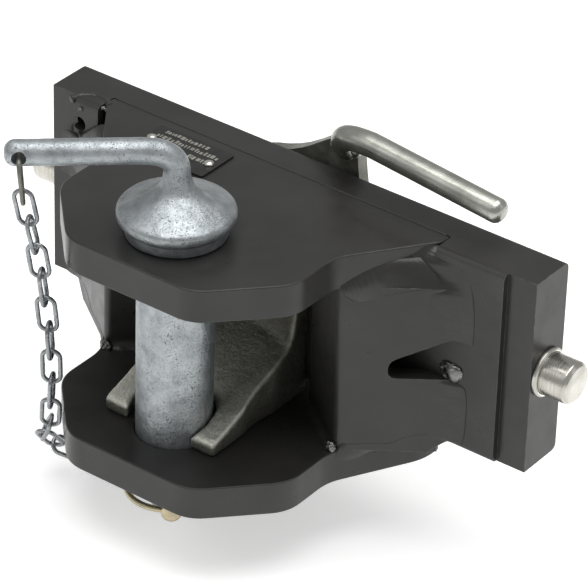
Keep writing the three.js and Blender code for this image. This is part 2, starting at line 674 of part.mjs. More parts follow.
hitch.add(frameGroup(), boltGroup(-1), boltGroup(1), leverGroup(), pinGroup());

export default hitch;
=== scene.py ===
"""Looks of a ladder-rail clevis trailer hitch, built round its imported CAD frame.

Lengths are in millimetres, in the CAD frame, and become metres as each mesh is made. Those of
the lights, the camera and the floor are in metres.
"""

import math
import random
from contextlib import contextmanager

import bmesh
import bpy
from mathutils import Matrix, Vector, noise


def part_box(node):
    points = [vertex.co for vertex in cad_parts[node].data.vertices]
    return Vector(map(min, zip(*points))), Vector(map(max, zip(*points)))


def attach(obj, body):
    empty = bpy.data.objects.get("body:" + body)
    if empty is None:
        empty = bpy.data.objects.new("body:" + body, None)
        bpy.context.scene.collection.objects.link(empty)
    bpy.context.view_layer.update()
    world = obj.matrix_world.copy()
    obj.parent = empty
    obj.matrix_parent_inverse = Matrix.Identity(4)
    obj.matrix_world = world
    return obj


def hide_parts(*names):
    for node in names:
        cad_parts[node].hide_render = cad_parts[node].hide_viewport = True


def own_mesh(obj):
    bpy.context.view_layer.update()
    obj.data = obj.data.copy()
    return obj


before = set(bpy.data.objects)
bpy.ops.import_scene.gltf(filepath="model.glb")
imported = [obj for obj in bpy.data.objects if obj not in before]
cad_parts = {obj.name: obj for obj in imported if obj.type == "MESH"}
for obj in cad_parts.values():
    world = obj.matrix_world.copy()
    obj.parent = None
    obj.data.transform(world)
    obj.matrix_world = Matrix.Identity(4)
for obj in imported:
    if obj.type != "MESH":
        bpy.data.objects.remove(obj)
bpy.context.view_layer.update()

MM = 0.001
Z_AXIS = Vector((0, 0, 1))
SIDES = (("left", -1), ("right", 1))

# ---- Driving sizes, which follow the CAD ----
JAW_X = -13.3  # middle of the jaw
UPPER_PLATE, LOWER_PLATE = (100.0, 120.0), (-26.0, -6.0)  # lowest and highest Z
PLATE_FRONT = -34.0  # Y of the slide plate's front face
PIN_X, PIN_Y = -14.0, -108.0
HANDLE_Z, HANDLE_HEADING, HANDLE_RADIUS = 170.0, math.radians(221), 7.22
LINCH_Z, LINCH_HEADING, LINCH_EYE_X = -44.0, math.radians(-54), 25.4
BOLT_Y, BOLT_Z = -15.0, 58.0
# X is measured from the middle of the jaw in these, and is mirrored for the left side.
JAW_NECK = (80, -75)  # X and Y where a jaw plate starts to flare
UPPER_FLARE, LOWER_FLARE = (115, -26), (108.5, -23)  # X and Y where the flare ends
WALL_NOSE = (79.9, -70.5)  # X and Y of a side wall's bend
WALL_OUTER, WALL_INNER = math.radians(36), math.radians(143)  # headings of its two legs
WALL_END = 129.7  # X where the outer leg meets the slide plate


# ---- Mesh helpers ----
def add_object(name, data):
    obj = bpy.data.objects.new(name, data)
    bpy.context.scene.collection.objects.link(obj)
    return obj


def add_mesh(name, points, faces, scale=MM):
    mesh = bpy.data.meshes.new(name)
    mesh.from_pydata([tuple(Vector(p) * scale) for p in points], [], faces)
    mesh.update()
    return add_object(name, mesh)


@contextmanager
def editing(mesh):
    """The mesh as a bmesh, written back at the end."""
    made = bmesh.new()
    made.from_mesh(mesh)
    yield made
    made.to_mesh(mesh)
    made.free()


def evaluated_mesh(obj):
    """A new mesh of the object with its modifiers, or its curve's bevel, in it."""
    graph = bpy.context.evaluated_depsgraph_get()
    graph.update()
    return bpy.data.meshes.new_from_object(obj.evaluated_get(graph))


def apply_modifiers(obj):
    mesh = evaluated_mesh(obj)
    obj.modifiers.clear()
    obj.data = mesh


def smooth(obj, angle=35):
    """Smooth shading that keeps edges sharper than the angle, with flats kept flat."""
    obj.data.shade_smooth()
    obj.data.set_sharp_from_angle(angle=math.radians(angle))
    weighted = obj.modifiers.new("weighted", "WEIGHTED_NORMAL")
    weighted.keep_sharp = True
    apply_modifiers(obj)


def outward(obj):
    """Turns every face outwards."""
    with editing(obj.data) as made:
        bmesh.ops.recalc_face_normals(made, faces=made.faces)


def merge(obj, distance=0.002, dissolve=None):
    """Joins vertices that share a place, and flat faces when given an angle in degrees."""
    with editing(obj.data) as made:
        bmesh.ops.remove_doubles(made, verts=made.verts, dist=distance * MM)
        if dissolve:
            bmesh.ops.dissolve_limit(
                made, angle_limit=math.radians(dissolve), verts=made.verts, edges=made.edges
            )
        bmesh.ops.recalc_face_normals(made, faces=made.faces)


def bevel(obj, width, segments):
    """Rounds every edge sharper than 30 degrees."""
    made = obj.modifiers.new("bevel", "BEVEL")
    made.width = width * MM
    made.segments = segments
    made.limit_method = "ANGLE"
    made.angle_limit = math.radians(30)
    made.use_clamp_overlap = True
    made.miter_outer = "MITER_ARC"
    apply_modifiers(obj)


def cad_copy(node, dissolve=1.0):
    """A new object with a CAD node's shape, merged into large flat faces."""
    obj = add_object(node + "_look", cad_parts[node].data.copy())
    obj.data.materials.clear()
    merge(obj, 0.01, dissolve)
    return obj


def cut(obj, *cutters):
    """Takes the cutters out of obj and removes them."""
    for cutter in cutters:
        made = obj.modifiers.new("cut", "BOOLEAN")
        made.operation = "DIFFERENCE"
        made.solver = "EXACT"
        made.object = cutter
        apply_modifiers(obj)
        bpy.data.objects.remove(cutter)


def shaken(obj, amount, size, seed=0.0):
    """Moves each vertex along its normal by smooth noise, in millimetres."""
    offset = Vector((seed, seed * 0.7, -seed))
    fall, step, layers = 0.6, 2.1, 3
    normals = [v.normal.copy() for v in obj.data.vertices]
    for vertex, normal in zip(obj.data.vertices, normals):
        where = vertex.co / (size * MM) + offset
        vertex.co += normal * noise.fractal(where, fall, step, layers) * amount * MM
    obj.data.update()


# ---- Curves and swept shapes ----
def quadratic(a, b, c, t):
    return a * (1 - t) ** 2 + b * 2 * t * (1 - t) + c * t * t


def bezier(a, b, c, steps):
    """Points of a quadratic curve, without its first."""
    return [quadratic(a, b, c, k / steps) for k in range(1, steps + 1)]


def rounded(corners, steps=6, closed=True):
    """Corners (x, y, rounding) as points, each corner a quadratic curve of that length."""
    points = []
    for i, corner in enumerate(corners):
        at = Vector(corner[:2])
        reach = corner[2] if len(corner) > 2 else 0
        if reach == 0 or (not closed and i in (0, len(corners) - 1)):
            points.append(tuple(at))
            continue
        before, after = Vector(corners[i - 1][:2]), Vector(corners[(i + 1) % len(corners)][:2])
        start = at + (before - at).normalized() * reach
        end = at + (after - at).normalized() * reach
        points += [tuple(quadratic(start, at, end, k / steps)) for k in range(steps + 1)]
    return points


def circle(x, y, radius, count=96):
    turns = [2 * math.pi * k / count for k in range(count)]
    return [(x + radius * math.cos(a), y + radius * math.sin(a)) for a in turns]


def closed_spline(corners, steps):
    """A smooth loop through 2-D corners, with its speed set by their distances."""
    count, points = len(corners), []
    for i in range(count):
        p0, p1, p2, p3 = (Vector((*corners[(i + k) % count], 0)) for k in (-1, 0, 1, 2))
        d01, d12, d23 = ((b - a).length ** 0.5 for a, b in ((p0, p1), (p1, p2), (p2, p3)))
        m1 = (p1 - p0) / d01 - (p2 - p0) / (d01 + d12) + (p2 - p1) / d12
        m2 = (p2 - p1) / d12 - (p3 - p1) / (d12 + d23) + (p3 - p2) / d23
        for k in range(steps):
            t = k / steps
            points.append(
                p1 * (2 * t**3 - 3 * t**2 + 1) + m1 * d12 * (t**3 - 2 * t**2 + t)
                + p2 * (3 * t**2 - 2 * t**3) + m2 * d12 * (t**3 - t**2)
            )
    return points


def resampled(points, count):
    """A smooth line through the points, as that many points."""
    spans = len(points) - 1
    found = []
    for i in range(count):
        u = i / (count - 1) * spans
        k = min(int(u), spans - 1)
        t = u - k
        p1, p2 = points[k], points[k + 1]
        p0 = points[k - 1] if k else p1 * 2 - p2
        p3 = points[k + 2] if k + 2 <= spans else p2 * 2 - p1
        found.append(
            (p1 * 2 + (p2 - p0) * t + (p0 * 2 - p1 * 5 + p2 * 4 - p3) * t**2
             + (p1 * 3 - p0 - p2 * 3 + p3) * t**3) / 2
        )
    return found


def band(a, b, sides):
    """The faces between two rings of vertices, the first vertices of which are a and b."""
    faces = []
    for k in range(sides):
        n = (k + 1) % sides
        faces.append((a + k, a + n, b + n, b + k))
    return faces


def slab(name, outline, holes, z0, z1, edge):
    """A flat plate with rounded edges, from an outline and its holes in the XY plane."""
    curve = bpy.data.curves.new(name, "CURVE")
    curve.dimensions = "2D"
    curve.fill_mode = "BOTH"
    curve.extrude = ((z1 - z0) / 2 - edge) * MM
    curve.bevel_depth = edge * MM
    curve.bevel_resolution = 3
    curve.offset = -edge * MM
    for loop in [outline, *holes]:
        spline = curve.splines.new("POLY")
        spline.points.add(len(loop) - 1)
        for point, (x, y) in zip(spline.points, loop):
            point.co = (x * MM, y * MM, 0, 1)
        spline.use_cyclic_u = True
    drawn = add_object(name, curve)
    mesh = evaluated_mesh(drawn)
    bpy.data.objects.remove(drawn)
    mesh.transform(Matrix.Translation((0, 0, (z0 + z1) / 2 * MM)))
    obj = add_object(name, mesh)
    merge(obj)
    return obj


def tube(name, stations, sides=40, closed=False):
    """A sweep through stations (point, radius), square to the path, with one ring for each."""
    points = [Vector(p) for p, _ in stations]
    count = len(points)
    ways = []
    for i in range(count):
        before = points[i - 1] if closed or i else points[i]
        after = points[(i + 1) % count] if closed or i < count - 1 else points[i]
        ways.append((after - before).normalized())
    side = ways[0].orthogonal().normalized()
    flat, faces = [], []
    for point, (_, radius), way in zip(points, stations, ways):
        side = (side - way * side.dot(way)).normalized()
        other = way.cross(side)
        for k in range(sides):
            a = 2 * math.pi * k / sides
            flat.append(point + side * radius * math.cos(a) + other * radius * math.sin(a))
    for i in range(count if closed else count - 1):
        faces += band(i * sides, (i + 1) % count * sides, sides)
    if not closed:
        flat += [points[0], points[-1]]
        last = (count - 1) * sides
        for k in range(sides):
            n = (k + 1) % sides
            faces.append((k, len(flat) - 2, n))
            faces.append((last + n, len(flat) - 1, last + k))
    obj = add_mesh(name, flat, faces)
    merge(obj, 0.0005)
    return obj


def stepped_tube(name, stations, sides):
    """A sweep whose rings in a straight stretch may share a place, as at a step in a shaft."""
    rings, ways = [], []
    for i, (point, _) in enumerate(stations):
        later = next((q for q, _ in stations[i + 1:] if (q - point).length > 1e-4), None)
        sooner = next((q for q, _ in reversed(stations[:i]) if (q - point).length > 1e-4), None)
        way = (later - point).normalized() if later else Vector()
        if sooner:
            way += (point - sooner).normalized()
        ways.append(way.normalized())
    side = Vector((1, 0, 0))
    flat, faces = [], []
    for (point, radius), way in zip(stations, ways):
        side = (side - way * side.dot(way)).normalized()
        other = way.cross(side)
        rings.append(len(flat))
        for k in range(sides):
            a = 2 * math.pi * k / sides
            flat.append(point + (side * math.cos(a) + other * math.sin(a)) * max(radius, 1e-3))
    for a, b in zip(rings, rings[1:]):
        faces += band(a, b, sides)
    faces.append(tuple(range(sides))[::-1])
    faces.append(tuple(range(rings[-1], rings[-1] + sides)))
    obj = add_mesh(name, flat, faces)
    merge(obj, 0.004)
    return obj


def blob_tip(end, way, radius, flat, steps=8):
    """Stations that close a bar with a rounded tip, whose middle is flat."""
    turns = [math.pi / 2 * k / steps for k in range(1, steps + 1)]
    ball = radius - flat
    return [(end + way * ball * math.sin(a), flat + ball * math.cos(a)) for a in turns]


def lathe(name, profile, place, sides=96, steps=5):
    """Turns a profile (radius, height, rounding) about Z, then sets it in place."""
    flat, rings = [], []
    for r, h in rounded(profile, steps, closed=False):
        if r < 1e-6:
            rings.append([len(flat)])
            flat.append(Vector((0, 0, h)))
            continue
        rings.append(list(range(len(flat), len(flat) + sides)))
        for k in range(sides):
            a = 2 * math.pi * k / sides
            flat.append(Vector((r * math.cos(a), r * math.sin(a), h)))
    faces = []
    for one, two in zip(rings, rings[1:]):
        for k in range(sides):
            n = (k + 1) % sides
            corners = [one[k % len(one)], one[n % len(one)], two[n % len(two)], two[k % len(two)]]
            distinct = list(dict.fromkeys(corners))
            if len(distinct) > 2:
                faces.append(tuple(distinct))
    obj = add_mesh(name, [place @ p for p in flat], faces)
    merge(obj, 0.0005)
    return obj


def place_at(position, *turns):
    made = Matrix.Translation(position)
    for angle, axis in turns:
        made = made @ Matrix.Rotation(angle, 4, axis)
    return made


# ---- Materials ----
class Shader:
    """A material being built: its node tree and its Principled shader."""

    def __init__(self, name):
        self.material = bpy.data.materials.new(name)
        self.material.use_nodes = True
        self.nodes = self.material.node_tree.nodes
        self.links = self.material.node_tree.links
        self.bsdf = self.nodes["Principled BSDF"]
        self.place = self.nodes.new("ShaderNodeTexCoord").outputs["Object"]

    def set(self, **values):
        for name, value in values.items():
            self.bsdf.inputs[name.replace("_", " ")].default_value = value

    def feed(self, **outputs):
        for name, output in outputs.items():
            self.links.new(output, self.bsdf.inputs[name.replace("_", " ")])

    def noise(self, size, detail=4.0, rough=0.55, stretch=None):
        """Noise with features of about that size in millimetres."""
        made = self.nodes.new("ShaderNodeTexNoise")
        made.inputs["Scale"].default_value = 1 / (size * MM)
        made.inputs["Detail"].default_value = detail
        made.inputs["Roughness"].default_value = rough
        self.links.new(self.stretched(stretch) if stretch else self.place, made.inputs["Vector"])
        return made.outputs["Fac"]

    def stretched(self, by):
        made = self.nodes.new("ShaderNodeMapping")
        made.inputs["Scale"].default_value = by
        self.links.new(self.place, made.inputs["Vector"])
        return made.outputs["Vector"]

    def ranged(self, value, low, high, to_low, to_high):
        """The value's stretch from low to high, spread from to_low to to_high."""
        made = self.nodes.new("ShaderNodeMapRange")
        made.inputs["From Min"].default_value = low
        made.inputs["From Max"].default_value = high
        made.inputs["To Min"].default_value = to_low
        made.inputs["To Max"].default_value = to_high
        self.links.new(value, made.inputs["Value"])
        return made.outputs["Result"]

    def mixed(self, share, one, two):
        """A colour between two, each a colour or an output."""
        made = self.nodes.new("ShaderNodeMix")
        made.data_type = "RGBA"
        self.links.new(share, made.inputs["Factor"])
        for socket, colour in ((made.inputs[6], one), (made.inputs[7], two)):
            if isinstance(colour, tuple):
                socket.default_value = (*colour, 1)
            else:
                self.links.new(colour, socket)
        return made.outputs[2]

    def maths(self, operation, one, two):
        made = self.nodes.new("ShaderNodeMath")
        made.operation = operation
        for socket, value in zip(made.inputs, (one, two)):
            if isinstance(value, float):
                socket.default_value = value
            else:
                self.links.new(value, socket)
        return made.outputs["Value"]

    def along_z(self, vector):
        made = self.nodes.new("ShaderNodeSeparateXYZ")
        self.links.new(vector, made.inputs["Vector"])
        return made.outputs["Z"]

    def surface_normal(self):
        return self.nodes.new("ShaderNodeNewGeometry").outputs["Normal"]

    def edges(self, radius, gain):
        """Near 1 along the outer edges and near 0 elsewhere."""
        soft = self.nodes.new("ShaderNodeBevel")
        soft.samples = 4
        soft.inputs["Radius"].default_value = radius * MM
        dot = self.nodes.new("ShaderNodeVectorMath")
        dot.operation = "DOT_PRODUCT"
        self.links.new(soft.outputs["Normal"], dot.inputs[0])
        self.links.new(self.surface_normal(), dot.inputs[1])
        turned = self.maths("SUBTRACT", 1.0, dot.outputs["Value"])
        return self.maths("MULTIPLY", turned, gain)

    def bumps(self, *layers):
        """Bump layers (height, distance in millimetres, strength), one over the other."""
        normal = None
        for height, distance, strength in layers:
            made = self.nodes.new("ShaderNodeBump")
            made.inputs["Distance"].default_value = distance * MM
            made.inputs["Strength"].default_value = strength
            self.links.new(height, made.inputs["Height"])
            if normal:
                self.links.new(normal, made.inputs["Normal"])
            normal = made.outputs["Normal"]
        self.links.new(normal, self.bsdf.inputs["Normal"])


def black_paint(name, chips_and_sheen):
    """Satin black paint with a faint orange peel and dust, and lighter edges where asked: part
    chips, part a painted highlight along the rounded edges.
    """
    dark, light = (0.020, 0.0195, 0.0185), (0.027, 0.0262, 0.025)
    # The second pair: dust, then one colour for both chipped edges and the painted edge highlight.
    dust_colour, bare_and_highlight = (0.055, 0.053, 0.049), (0.20, 0.195, 0.18)
    s = Shader(name)
    cloud = s.ranged(s.noise(38, 3), 0.35, 0.65, 0, 1)
    dust = s.ranged(s.noise(1.1, 2), 0.7, 0.78, 0, 0.4)
    dusty = s.mixed(dust, s.mixed(cloud, dark, light), dust_colour)
    # Edges lightened towards bare metal: partly chipped paint, partly a painted highlight where the
    # rounded edges catch the light.
    edge_mask = s.maths("MULTIPLY", s.edges(1.1, chips_and_sheen), s.ranged(s.noise(4, 5), 0.48, 0.66, 0.08, 1))
    s.feed(
        Base_Color=s.mixed(edge_mask, dusty, bare_and_highlight),
        Roughness=s.ranged(s.noise(14, 5), 0.3, 0.7, 0.26, 0.42),
    )
    s.set(Specular_IOR_Level=0.42)
    s.bumps((s.noise(2.2, 2), 0.08, 0.3), (s.noise(26, 2), 0.5, 0.2), (s.noise(0.5, 2), 0.02, 0.3))
    return s.material


def raw_casting():
    """Cast steel, olive grey, with pits and bright worn edges, and a painted highlight on the
    upward faces of the low arms.
    """
    dark, light, sandy = (0.060, 0.059, 0.045), (0.105, 0.103, 0.083), (0.20, 0.197, 0.165)
    # The last colour serves both the bare worn edges and the painted highlight on the arms' tops.
    pit_colour, bare_and_highlight = (0.03, 0.028, 0.023), (0.82, 0.82, 0.73)
    arms_z = (0.038, 0.008)  # the painted highlight on the arms' upward faces grows from the first height down to the second
    s = Shader("raw_casting")
    mottle = s.ranged(s.noise(9, 6, 0.6), 0.34, 0.68, 0, 1)
    grain = s.ranged(s.noise(1.6, 5, 0.7), 0.3, 0.7, 0, 1)
    base = s.mixed(s.maths("MULTIPLY", grain, 0.5), s.mixed(mottle, dark, light), sandy)
    pits = s.ranged(s.noise(1.3, 3, 0.6), 0.66, 0.72, 0, 1)
    pitted = s.mixed(pits, base, pit_colour)
    edge_mask = s.maths("MULTIPLY", s.edges(4.5, 2.4), s.ranged(s.noise(2.2, 4), 0.35, 0.6, 0.45, 1))
    # Painted highlight: the low arms' upward-facing surfaces are lightened as if lit from above.
    low = s.ranged(s.along_z(s.place), *arms_z, 0, 0.95)
    faces_up = s.ranged(s.along_z(s.surface_normal()), 0.1, 0.7, 0.12, 1)
    painted_top_light = s.maths("MULTIPLY", low, faces_up)
    # The lighter of the worn edges and the painted top highlight.
    wear_and_top_light = s.maths("MAXIMUM", edge_mask, s.maths("MULTIPLY", painted_top_light, s.ranged(grain, 0, 1, 0.6, 1)))
    s.feed(
        Base_Color=s.mixed(wear_and_top_light, pitted, bare_and_highlight),
        Roughness=s.ranged(s.noise(3, 5), 0.3, 0.7, 0.30, 0.50),
    )
    s.set(Metallic=0.78)
    s.bumps(
        (s.noise(9, 3), 0.8, 0.4), (s.noise(1.7, 5, 0.7), 0.6, 0.85),
        (s.maths("SUBTRACT", 1.0, pits), 0.3, 0.6),
    )
    return s.material


def zinc(name, light, dark, speckle, rough):
    """Zinc plating over a forging or wire: bluish silver, mottled, with dark specks."""
    speck_colour, polished = (0.03, 0.03, 0.031), (0.62, 0.64, 0.65)
    s = Shader(name)
    cloud = s.ranged(s.noise(10, 6, 0.6), 0.34, 0.66, 0, 1)
    base = s.mixed(cloud, dark, light)
    fine = s.ranged(s.noise(0.8, 4, 0.65, (1, 1, 0.75)), 0.57, 0.65, 0, 1)
    patches = s.ranged(s.noise(11, 3, 0.5, (1, 1, 0.35)), 0.44, 0.58, 0.10, 1)
    specks = s.maths("MULTIPLY", s.maths("MULTIPLY", fine, patches), speckle)
    edge_mask = s.maths("MULTIPLY", s.edges(2.4, 1.5), s.ranged(s.noise(3, 3), 0.35, 0.6, 0.2, 1))
    s.feed(
        Base_Color=s.mixed(edge_mask, s.mixed(specks, base, speck_colour), polished),
        Roughness=s.ranged(s.noise(4, 5), 0.3, 0.7, rough - 0.08, rough + 0.12),
    )
    s.set(Metallic=0.86)
    s.bumps(
        (s.noise(5, 4), 0.8, 0.6), (s.noise(1.0, 4, 0.65), 0.2, 0.7),
        (s.maths("SUBTRACT", 1.0, fine), 0.14, 0.6),
    )
    return s.material


def machined(name, light, dark, rough, stretch):
    """Turned or drawn steel, with fine marks along the axes where stretch is well below 1."""
    groove, polished = tuple(0.6 * c for c in dark), (0.85, 0.84, 0.80)
    s = Shader(name)
    cloud = s.ranged(s.noise(16, 4), 0.35, 0.65, 0, 1)
    marks = s.noise(0.8, 3, 0.6, stretch)
    lined = s.mixed(s.ranged(marks, 0.45, 0.7, 0, 0.4), s.mixed(cloud, dark, light), groove)
    s.feed(
        Base_Color=s.mixed(s.edges(1.2, 1.2), lined, polished),
        Roughness=s.ranged(marks, 0.3, 0.7, rough - 0.06, rough + 0.1),
    )
    s.set(Metallic=0.95)
    s.bumps((marks, 0.05, 0.45), (s.noise(9, 3), 0.3, 0.2))
    return s.material


def plain_metal(name, light, dark, metallic, rough):
    """Dark or coloured metal with a mottled finish and worn edges."""
    polished = tuple(1.8 * c for c in light)
    s = Shader(name)
    cloud = s.ranged(s.noise(8, 5), 0.35, 0.65, 0, 1)
    edge_mask = s.maths("MULTIPLY", s.edges(1.2, 1.3), s.ranged(s.noise(3, 4), 0.38, 0.62, 0.1, 0.9))
    s.feed(
        Base_Color=s.mixed(edge_mask, s.mixed(cloud, dark, light), polished),
        Roughness=s.ranged(s.noise(5, 5), 0.3, 0.7, rough - 0.08, rough + 0.12),
    )
    s.set(Metallic=metallic)
    s.bumps((s.noise(1.4, 4), 0.08, 0.5), (s.noise(9, 3), 0.4, 0.2))
    return s.material


def floor_paper():
    s = Shader("floor_paper")
    s.feed(Base_Color=s.mixed(s.noise(60, 2), (0.90, 0.90, 0.895), (0.93, 0.93, 0.925)))
    s.set(Roughness=0.7, Specular_IOR_Level=0.2)
    s.set(Emission_Color=(1, 1, 1, 1), Emission_Strength=0.46)
    s.bumps((s.noise(3, 2), 0.05, 0.2))
    return s.material


# Each metal is mottled from the first colour, its light one, to the second.
MATERIALS = {
    "black_paint": black_paint("black_paint", 1.7),
    "weld_paint": black_paint("weld_paint", 0.0),
    "raw_casting": raw_casting(),
    "zinc_plated": zinc(
        "zinc_plated", (0.43, 0.458, 0.472), (0.28, 0.302, 0.313), speckle=0.85, rough=0.40
    ),
    "zinc_chain": zinc(
        "zinc_chain", (0.36, 0.375, 0.385), (0.20, 0.21, 0.22), speckle=0.35, rough=0.24
    ),
    "bright_steel": machined(
        "bright_steel", (0.66, 0.645, 0.59), (0.46, 0.445, 0.40),
        rough=0.24, stretch=(1, 0.04, 0.04),
    ),
    "satin_steel": machined(
        "satin_steel", (0.50, 0.505, 0.46), (0.33, 0.335, 0.30),
        rough=0.30, stretch=(0.05, 1, 1),
    ),
    "dark_steel": plain_metal(
        "dark_steel", (0.22, 0.22, 0.19), (0.12, 0.122, 0.105), metallic=0.6, rough=0.40
    ),
    "yellow_zinc": plain_metal(
        "yellow_zinc", (0.55, 0.48, 0.31), (0.38, 0.335, 0.235), metallic=0.95, rough=0.27
    ),
    "label_black": plain_metal(
        "label_black", (0.024, 0.024, 0.023), (0.014, 0.014, 0.0135), metallic=0.2, rough=0.35
    ),
    "weld_metal": plain_metal(
        "weld_metal", (0.22, 0.22, 0.21), (0.03, 0.03, 0.029), metallic=0.8, rough=0.17
    ),
    "label_light": plain_metal(
        "label_light", (0.33, 0.325, 0.29), (0.19, 0.187, 0.165), metallic=0.4, rough=0.4
    ),
}


def join_frame(obj, body, slot, *nodes, material=None):
    """Paints a piece, ties it to its body and hides the CAD nodes it stands for."""
    obj.data.materials.clear()
    obj.data.materials.append(MATERIALS[material or slot])
    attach(obj, body)
    if nodes:
        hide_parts(*nodes)


def rounded_cad(node, body, slot, width, segments=2, sharp=40, dissolve=1.0):
    """A CAD node's own shape, with its edges rounded."""
    obj = cad_copy(node, dissolve)
    bevel(obj, width, segments)
    smooth(obj, sharp)
    join_frame(obj, body, slot, node)


# ---- Jaw plates ----
PIN_HOLE = 21.9  # radius
JAW_SIDE = [(42, -150, 10), (80, -110, 10), (*JAW_NECK, 8)]  # X from the middle, Y, rounding
JAW_REAR_ROUNDING, JAW_EDGE = 1.5, 0.9


def jaw_outline(flare, rear_y, rounding):
    corner_x, corner_y = flare
    rear = [(corner_x, corner_y, rounding), (corner_x, rear_y, JAW_REAR_ROUNDING)]
    right = JAW_SIDE + rear
    left = [(-x, y, r) for x, y, r in reversed(right)]
    return rounded([(JAW_X + x, y, r) for x, y, r in left + right], 8)


def jaw_plates():
    hole = circle(PIN_X, PIN_Y, PIN_HOLE)
    upper = slab("upper_jaw", jaw_outline(UPPER_FLARE, -20, 3), [hole], *UPPER_PLATE, JAW_EDGE)
    lower = slab("lower_jaw", jaw_outline(LOWER_FLARE, -10, 9), [hole], *LOWER_PLATE, JAW_EDGE)
    smooth(upper)
    smooth(lower)
    join_frame(upper, "frame", "black_paint", "upper_jaw_plate")
    join_frame(lower, "frame", "black_paint", "lower_jaw_plate")


# ---- Casting: the CAD shape, melted together and roughened ----
CASTING_VOXEL = 1.1


def guide_casting():
    obj = cad_copy("guide_casting", dissolve=None)
    remesh = obj.modifiers.new("remesh", "REMESH")
    remesh.mode = "VOXEL"
    remesh.voxel_size = CASTING_VOXEL * MM
    relax = obj.modifiers.new("relax", "SMOOTH")
    relax.factor = 0.5
    relax.iterations = 20
    apply_modifiers(obj)
    shaken(obj, amount=0.2, size=14, seed=3.0)
    shaken(obj, amount=0.12, size=2.4, seed=5.0)
    obj.data.shade_smooth()
    join_frame(obj, "frame", "raw_casting", "guide_casting")


# ---- Coupling pin: one forging, swept from its tip to the handle's end ----
HANDLE_ROOT_Z = 157
SHANK = [  # radius, Z, rounding
    (0, -56), (11.5, -56, 1.2), (13.5, -53.4, 1), (21.3, -33, 3), (21.3, 120.3, 0.6),
    (28, 120.3, 1.2), (28.4, 127, 1.2), (32.1, 129.4, 1.9), (32.6, 135, 2.9), (22, 140.2, 5),
    (14, 144.2, 3.6), (9.5, 148.5, 2.4), (7.6, 153.5, 2.4),
    (7.3, HANDLE_ROOT_Z),
]
HANDLE_BEND, HANDLE_END = 19, 84.7  # where the straight bar starts and ends, out from the knee
HANDLE_TIP_FLAT = 1.2
HANDLE_EYE, HANDLE_EYE_RADIUS = 83, 4  # out from the knee
LINCH_HOLE_RADIUS = 5.1
EYE_CUT, LINCH_CUT = (-14, 14), (-32, 32)  # the cutters reach past both sides of the forging
DOME = (134.5, 150.0)  # heights between which the forging's parting line shows
SEAM_HEIGHT, SEAM_WIDTH = 0.7, 1.6


def heading_vector(angle):
    return Vector((math.cos(angle), math.sin(angle), 0))


def add_parting_line(obj, axis, across):
    """Raises a low ridge over the dome, in the plane that holds the handle."""
    for vertex in obj.data.vertices:
        spot = vertex.co / MM
        if DOME[0] < spot.z < DOME[1]:
            off = (spot - axis).dot(across)
            share = math.sin(math.pi * (spot.z - DOME[0]) / (DOME[1] - DOME[0]))
            vertex.co.z += SEAM_HEIGHT * MM * share * math.exp(-((off / SEAM_WIDTH) ** 2))


def coupling_pin():
    axis = Vector((PIN_X, PIN_Y, 0))
    out = heading_vector(HANDLE_HEADING)
    across = Vector((-out.y, out.x, 0))
    stations = [(axis + Z_AXIS * z, radius) for radius, z in rounded(SHANK, 5, closed=False)]
    knee = axis + Z_AXIS * HANDLE_Z
    path = bezier(axis + Z_AXIS * HANDLE_ROOT_Z, knee, knee + out * HANDLE_BEND, 24)
    stations += [(p, HANDLE_RADIUS) for p in path]
    for k in range(1, 13):
        reach = HANDLE_BEND + (HANDLE_END - HANDLE_BEND) * k / 12
        stations.append((knee + out * reach, HANDLE_RADIUS))
    stations += blob_tip(knee + out * HANDLE_END, out, HANDLE_RADIUS, HANDLE_TIP_FLAT)
    obj = stepped_tube("coupling_forging", stations, 112)
    eye_middle = knee + out * HANDLE_EYE
    eye = [(eye_middle + across * y, HANDLE_EYE_RADIUS) for y in EYE_CUT]
    way = heading_vector(LINCH_HEADING)
    hole_middle = axis + Z_AXIS * LINCH_Z
    hole = [(hole_middle + way * x, LINCH_HOLE_RADIUS) for x in LINCH_CUT]
    cut(obj, tube("eye_cutter", eye), tube("linch_cutter", hole))
    add_parting_line(obj, axis, across)
    shaken(obj, amount=0.1, size=7, seed=11.0)
    smooth(obj, 50)
    join_frame(obj, "coupling_pin", "zinc_plated", "coupling_pin")


# ---- Linch pin and ring, chain and loop ----
LINCH_PROFILE = [  # radius, distance along the pin, rounding
    (0, -23), (2.75, -23, 0.5), (4.75, -20, 1), (4.75, 20, 0.2), (5.65, 20.6, 0.4),
    (5.65, 28.4, 0.4), (4.35, 29, 0.3), (0, 29),
]
LINCH_EYE_RADIUS, LINCH_EYE_CUT = 2.7, (-9, 9)
RING_RADIUS, RING_WIRE = 26, 1.8
RING_TUCK = 1.2  # how much the ring flattens where it runs through the pin's eye
RING_TILT = math.radians(-3)


def linch_parts():
    across = place_at((PIN_X, PIN_Y, LINCH_Z), (LINCH_HEADING, "Z"))
    spot = place_at((PIN_X, PIN_Y, LINCH_Z), (LINCH_HEADING, "Z"), (math.pi / 2, "Y"))
    pin = lathe("linch_pin_look", LINCH_PROFILE, spot, 64, 4)
    eye = [(across @ Vector((LINCH_EYE_X, y, 0)), LINCH_EYE_RADIUS) for y in LINCH_EYE_CUT]
    cut(pin, tube("eye_cutter", eye, 32))
    smooth(pin)
    join_frame(pin, "linch_pin", "yellow_zinc", "linch_pin")
    hinge = place_at(
        across @ Vector((LINCH_EYE_X, 0, 0)), (LINCH_HEADING, "Z"), (RING_TILT, "Y")
    )
    stations = []
    for k in range(96):
        a = 2 * math.pi * k / 96
        near = max(0, math.cos(a)) ** 6
        x = RING_RADIUS * (math.cos(a) - 1) - RING_TUCK * near + RING_TUCK
        stations.append((hinge @ Vector((x, RING_RADIUS * math.sin(a), 0)), RING_WIRE))
    ring = tube("linch_ring_look", stations, 18, closed=True)
    ring.data.shade_smooth()
    join_frame(ring, "linch_ring", "yellow_zinc", "linch_ring")


